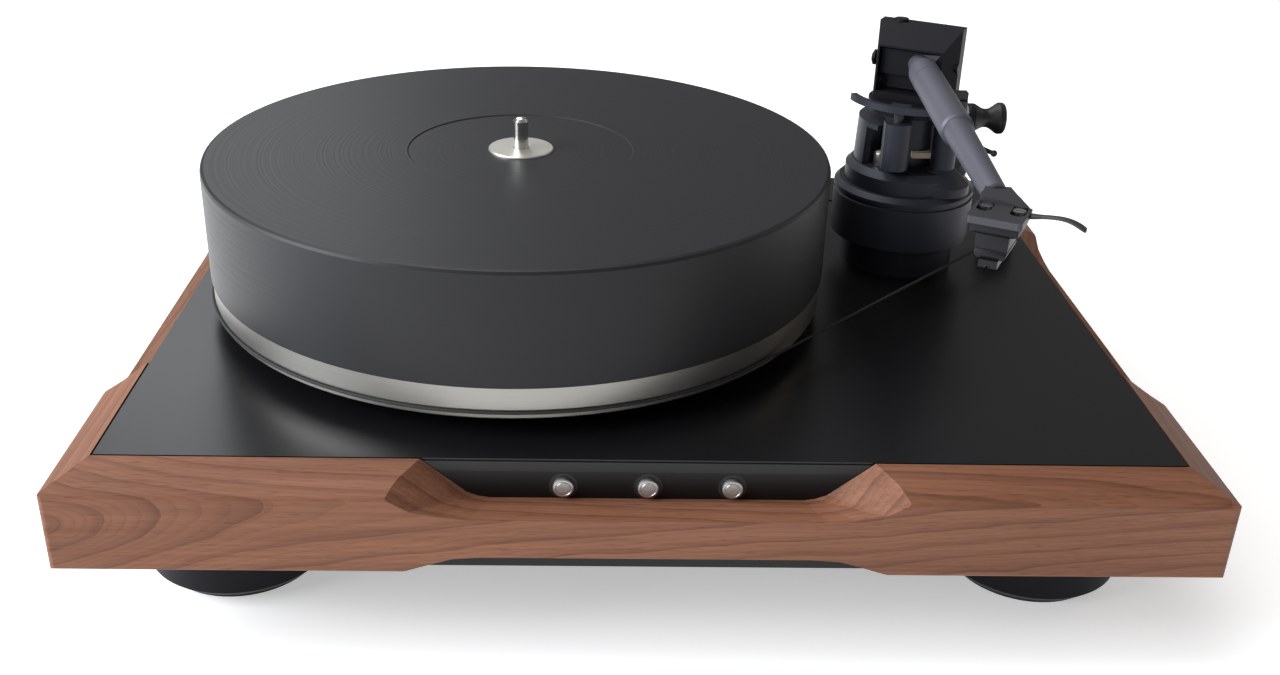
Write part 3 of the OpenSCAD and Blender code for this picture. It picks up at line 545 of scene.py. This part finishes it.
# %% Level
low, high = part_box("level_cap")
foot_of_level = Vector(((low.x + high.x) / 2, (low.y + high.y) / 2, low.z))
level_metal = plain_finish("Level cup", (0.42, 0.42, 0.42, 1), 0.32, metal=1.0, grain=900)
level_glass = plain_finish("Level window", (0.42, 0.46, 0.38, 1), 0.12, grain=300, tint=0.1, coat=0.6)
cup = turned("level_cup", [(3.6, 0), (4, 0.4), (4, 6.6), (3.8, 7), (3.3, 7), (3.2, 6.7), (1, 6.7)],
             facing(foot_of_level, (0, 0, 1)), "chassis", level_metal, 40)
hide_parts("level_cap")
turned("level_window", [(3.1, 6.6), (3.1, 6.8), (2.6, 7.1), (1.7, 7.3), (0.6, 7.35)],
       facing(foot_of_level, (0, 0, 1)), "chassis", level_glass, 40)

# %% [markdown]
# ## Band on the arm tube
# A slightly raised band runs round the thick tube, a little in front of the pivot block.

# %% Bands
BAND = [(7.3, 0), (7.75, 0.1), (7.8, 0.4), (7.8, 1.2), (7.75, 1.5), (7.3, 1.6)]
turned("tube_band", BAND, DOWN_ARM @ Matrix.Translation((0, 0, 0.036)), "arm", arm_metal)

# %% [markdown]
# ## Belt
# The belt is a round cord. One small circle is swept round the ring, straight to the
# pulley, round it and back, and the two ends are then merged.

# %% Belt
def belt_loop(ring, small, span, cord):
    wrap = math.acos((ring - small) / span)
    run = math.sqrt(span * span - (ring - small) ** 2)
    deselect()
    bpy.ops.mesh.primitive_circle_add(vertices=12, radius=cord, location=(ring, 0, 0),
                                      rotation=(math.pi / 2, 0, 0))
    obj = bpy.context.object
    bpy.ops.object.transform_apply(location=True, rotation=True)
    bpy.ops.object.mode_set(mode="EDIT")
    bpy.ops.mesh.select_all(action="SELECT")
    bpy.ops.mesh.spin(steps=120, angle=2 * math.pi - 2 * wrap, center=(0, 0, 0), axis=(0, 0, -1))
    bpy.ops.mesh.extrude_region_move(TRANSFORM_OT_translate={
        "value": (run * math.sin(2 * wrap), run * math.cos(2 * wrap), 0)})
    wheel = (span * math.cos(wrap), -span * math.sin(wrap), 0)
    bpy.ops.mesh.spin(steps=32, angle=2 * wrap, center=wheel, axis=(0, 0, -1))
    bpy.ops.mesh.extrude_region_move(TRANSFORM_OT_translate={"value": (0, run, 0)})
    bpy.ops.mesh.select_all(action="SELECT")
    bpy.ops.mesh.remove_doubles(threshold=0.0001)
    return obj, wrap


wheel_axis = Vector(joints["pulley_spin"]["pos_m"])
across = Vector((wheel_axis.x - platter_axis.x, wheel_axis.y - platter_axis.y, 0))
BELT_ON_RING = 0.15255
BELT_ON_PULLEY = 0.00975
CORD_RADIUS = 0.0007
belt, wrap = belt_loop(BELT_ON_RING, BELT_ON_PULLEY, across.length, CORD_RADIUS)
belt_place = Matrix.Translation((platter_axis.x, platter_axis.y, middle("drive_belt").z))
belt_place = belt_place @ Matrix.Rotation(math.atan2(across.y, across.x) + wrap, 4, "Z")
close_and_place(belt, "belt_cord", belt_place, "chassis", rubber_black, 60)
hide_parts("drive_belt")

# %% [markdown]
# ## Finger lift
# The lift is a small blade: thick where it joins the shell, thin in the middle and
# broader at its drooping tip. A disc is carried through those sections in turn, and one
# level of subdivision rounds it off.

# %% Finger lift
LIFT = [(12.5, -1.2, 1.9, 0.95), (15, -0.8, 1.6, 0.8), (18, -0.4, 1.5, 0.75), (21, -0.2, 1.6, 0.75),
        (24, -0.3, 1.8, 0.8), (26.6, -0.9, 2.0, 0.9), (29, -1.9, 2.2, 1.05), (30.8, -2.8, 2.2, 1.1),
        (31.6, -3.2, 1.6, 0.8)]
deselect()
bpy.ops.mesh.primitive_circle_add(vertices=16, radius=0.001, fill_type="NGON", location=(0.0098, 0, -0.0014),
                                  rotation=(0, math.pi / 2, 0))
lift = bpy.context.object
bpy.ops.object.transform_apply(location=True, rotation=True)
bpy.ops.object.mode_set(mode="EDIT")
bpy.ops.mesh.select_all(action="SELECT")
bpy.ops.transform.resize(value=(1, 2.8, 1.2), center_override=(0.0098, 0, -0.0014))
extrude_through([(x / 1000, 0, z / 1000, w / 1000, t / 1000) for x, z, w, t in LIFT],
                [0.0098, 0, -0.0014, 0.0028, 0.0012, "X"])
bpy.ops.object.mode_set(mode="OBJECT")
bpy.ops.object.modifier_add(type="SUBSURF")
bpy.ops.object.modifier_apply(modifier=lift.modifiers[0].name)
bpy.ops.object.mode_set(mode="EDIT")
close_and_place(lift, "lift_blade", AT_SHELL, "arm", shell_metal, 60)
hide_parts("finger_lift")

# %% [markdown]
# ## Cartridge
# The cartridge hangs under the shell: a wide mounting flange, a narrower body and a
# stepped nose. One rectangle is extruded down through those steps, and a small bevel
# catches the light on every edge.

# %% Cartridge body
def stepped_block(name, stations, place, body, mat, bevel):
    """Stations are (centre y, z, half width, half depth) in millimetres, from the top down."""
    deselect()
    y, z, w, d = [v / 1000 for v in stations[0]]
    bpy.ops.mesh.primitive_plane_add(size=2, location=(0, y, z))
    obj = bpy.context.object
    bpy.ops.object.transform_apply(location=True)
    bpy.ops.object.mode_set(mode="EDIT")
    bpy.ops.mesh.select_all(action="SELECT")
    bpy.ops.transform.resize(value=(w, d, 1), center_override=(0, y, z))
    steps = [[v / 1000 for v in row] for row in stations[1:]]
    extrude_through([(0, y2, z2, w2, d2) for y2, z2, w2, d2 in steps], [0, y, z, w, d, "Z"])
    bpy.ops.mesh.select_all(action="SELECT")
    bpy.ops.mesh.normals_make_consistent(inside=False)
    bpy.ops.object.mode_set(mode="OBJECT")
    bpy.ops.object.modifier_add(type="BEVEL")
    obj.modifiers[0].width = bevel
    obj.modifiers[0].segments = 3
    obj.modifiers[0].limit_method = "ANGLE"
    bpy.ops.object.modifier_apply(modifier=obj.modifiers[0].name)
    bpy.ops.object.mode_set(mode="EDIT")
    return close_and_place(obj, name, place, body, mat)


BODY = [(-3.5, -2.8, 9.2, 8.5), (-3.5, -6.8, 9.2, 8.5), (-3.75, -7.0, 6.4, 9.2), (-3.75, -12.6, 6.2, 9.2),
        (-3.75, -13.0, 5.7, 8.8), (-3.75, -13.4, 5.7, 8.8), (-3.75, -13.8, 6.1, 9.2), (-4.2, -15.0, 5.9, 9.0),
        (-4.6, -16.4, 5.2, 8.4)]
body = stepped_block("cartridge_body", BODY, AT_SHELL, "arm", cartridge_black, 0.00025)
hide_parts("cartridge")
for row, (x, z) in enumerate(((-3, -9), (3, -9), (-3, -12), (3, -12))):
    pin_place = AT_SHELL @ Matrix.Translation((x / 1000, 0.0050, z / 1000)) @ turn(-90, "X")
    pin = [(0.6, 0), (0.6, 3.6), (0.45, 4), (0.2, 4)]
    turned("lead_pin_%d" % row, pin, pin_place, "arm", brass, 16)

# %% [markdown]
# ## Painted slot shade
# Under each screw head lies a thin black plate, as long as the slot. It paints the shade
# deep in the slot. It is a disc pulled apart into an oval.

# %% Painted slot shade
SCREW_OFFSET = 0.00635
SLOT_REACH = 0.0035
for side in (-1, 1):
    deselect()
    bpy.ops.mesh.primitive_circle_add(vertices=32, radius=0.0028, fill_type="NGON", location=(0, 0, 0))
    shade_plate = bpy.context.object
    for vert in shade_plate.data.vertices:
        vert.select = vert.co.y > 1e-5
    bpy.ops.object.mode_set(mode="EDIT")
    bpy.ops.mesh.select_mode(type="VERT")
    bpy.ops.transform.translate(value=(0, SLOT_REACH, 0))
    bpy.ops.mesh.select_all(action="INVERT")
    bpy.ops.transform.translate(value=(0, -SLOT_REACH, 0))
    bpy.ops.mesh.select_all(action="SELECT")
    bpy.ops.mesh.extrude_region_move(TRANSFORM_OT_translate={"value": (0, 0, 0.0002)})
    # Each plate is painted shade, set on the floor of the slot under its screw head.
    shade_plate_place = AT_SHELL @ Matrix.Translation((side * SCREW_OFFSET, -0.0005, -0.00159))
    shade_plate_name = "painted_slot_shade_left" if side < 0 else "painted_slot_shade_right"
    close_and_place(shade_plate, shade_plate_name, shade_plate_place, "arm", slot_shade_paint)

# %% [markdown]
# ## Socket rings
# The two signal sockets at the back carry coloured rings, white on the left and red on the right.

# %% Socket rings
for side, colour in (("left", (0.75, 0.75, 0.72, 1)), ("right", (0.45, 0.02, 0.02, 1))):
    where = Vector([m["pos_m"] for m in frame["record"]["mounts"] if m["name"] == "phono_" + side][0])
    deselect()
    bpy.ops.mesh.primitive_torus_add(major_radius=0.0053, minor_radius=0.0009, major_segments=48,
                                     minor_segments=12)
    ring = bpy.context.object
    bpy.ops.object.mode_set(mode="EDIT")
    bpy.ops.mesh.select_all(action="SELECT")
    bpy.ops.transform.resize(value=(1, 1, 0.7), center_override=(0, 0, 0))
    seat = Vector((where.x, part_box("chassis_frame")[1].y + 0.0006, where.z))
    close_and_place(ring, "socket_ring_" + side, facing(seat, (0, 1, 0)), "chassis",
                    plain_finish("Socket ring " + side, colour, 0.35, grain=500))

# %% [markdown]
# ## Room, lights and camera
# A pale floor, a large cool window on the left and weaker lamps above and behind give
# the broad, quiet reflections that tell satin paint, matt platter and oiled wood apart.

# %% Floor
bpy.ops.mesh.primitive_plane_add(size=14, location=(0, 0, 0))
floor = bpy.context.object
floor.name = "floor"
floor_mat, floor_tree, floor_shader, _ = start_material("Pale floor")
floor_shader.inputs["Base Color"].default_value = (0.92, 0.92, 0.92, 1)
floor_shader.inputs["Roughness"].default_value = 0.9
floor_shader.inputs["Emission Color"].default_value = (1, 1, 1, 1)
floor_shader.inputs["Emission Strength"].default_value = 0.42
floor.data.materials.append(floor_mat)

# %% Lights
def soft_lamp(name, where, aim, width, depth, power, colour=(1, 1, 1)):
    bpy.ops.object.light_add(type="AREA", location=where)
    lamp = bpy.context.object
    lamp.name = name
    lamp.data.shape = "RECTANGLE"
    lamp.data.size = width
    lamp.data.size_y = depth
    lamp.data.energy = power
    lamp.data.color = colour
    lamp.rotation_euler = (Vector(aim) - Vector(where)).to_track_quat("-Z", "Y").to_euler()
    return lamp


soft_lamp("window_left", (-2.0, -0.6, 1.0), (-0.1, 0, 0.1), 1.5, 1.3, 84, (0.93, 0.97, 1.0))
soft_lamp("window_back", (-0.8, 2.0, 1.3), (-0.1, 0, 0.1), 0.8, 0.8, 5, (0.94, 0.97, 1.0))
soft_lamp("ceiling", (-0.9, 0.5, 2.4), (0, 0, 0), 2.4, 2.0, 44)
soft_lamp("side_right", (1.4, 0.5, 0.8), (0.2, 0, 0.08), 0.4, 0.8, 1.2, (1.0, 0.80, 0.55))
world = bpy.data.worlds.new("studio")
world.use_nodes = True
world.node_tree.nodes["Background"].inputs[0].default_value = (1, 1, 1, 1)
world.node_tree.nodes["Background"].inputs[1].default_value = 0.2
bpy.context.scene.world = world

# %% Camera
def aim_camera(pitch, yaw, roll, where, lens):
    right = Vector((math.cos(yaw), -math.sin(yaw), 0))
    ahead = Vector((math.sin(yaw) * math.cos(pitch), math.cos(yaw) * math.cos(pitch), -math.sin(pitch)))
    up = right.cross(ahead)
    side = math.cos(roll) * right + math.sin(roll) * up
    top = -math.sin(roll) * right + math.cos(roll) * up
    bpy.ops.object.camera_add()
    cam = bpy.context.object
    turn = Matrix((side, top, -ahead)).transposed().to_4x4()
    cam.matrix_world = Matrix.Translation(where) @ turn
    cam.data.sensor_width = 36
    cam.data.lens = lens
    cam.data.clip_start = 0.01
    bpy.context.scene.camera = cam
    return cam


camera = aim_camera(0.4578, 0.045, 0.0345, Vector((-0.02727, -0.65840, 0.38558)), 38.81)
bpy.context.scene.view_settings.view_transform = "Standard"
